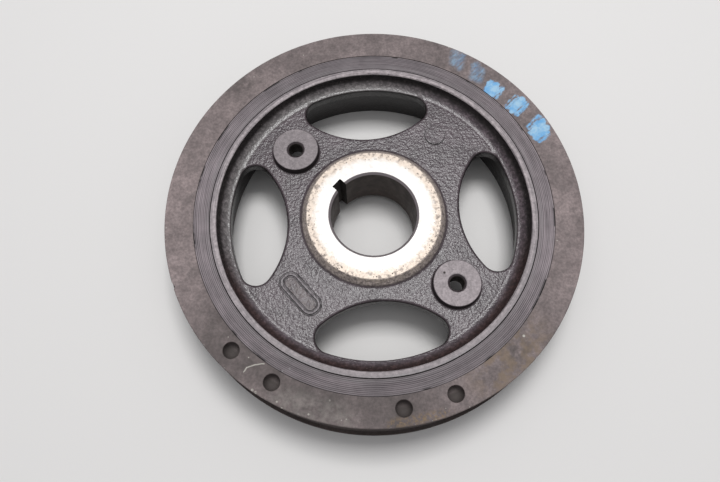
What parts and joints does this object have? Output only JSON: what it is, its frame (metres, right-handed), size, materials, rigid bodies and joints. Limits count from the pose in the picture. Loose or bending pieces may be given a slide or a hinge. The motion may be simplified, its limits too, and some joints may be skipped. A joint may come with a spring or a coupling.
{
  "type": "harmonic balancer",
  "caption": "Engine crankshaft damper: a windowed cast hub with a keyed bore, a rubber ring and an outer inertia ring with V-rib belt grooves.",
  "frame": {"origin": "on the shaft axis in the rear plane, where the part rests", "axes": "+Z along the shaft axis towards the front, windows on the X and Y axes, keyway at 135 degrees from +X"},
  "size_m": [0.147, 0.147, 0.026],
  "materials": {
    "cast_iron": "black painted casting with machined hub face, lip and boss faces",
    "rubber": "matte ridged rubber",
    "ring_iron": "turned iron, dull and dusty"
  },
  "bodies": {
    "root": {"hub": "cast_iron", "rubber_ring": "rubber", "inertia_ring": "ring_iron"}
  },
  "joints": []
}
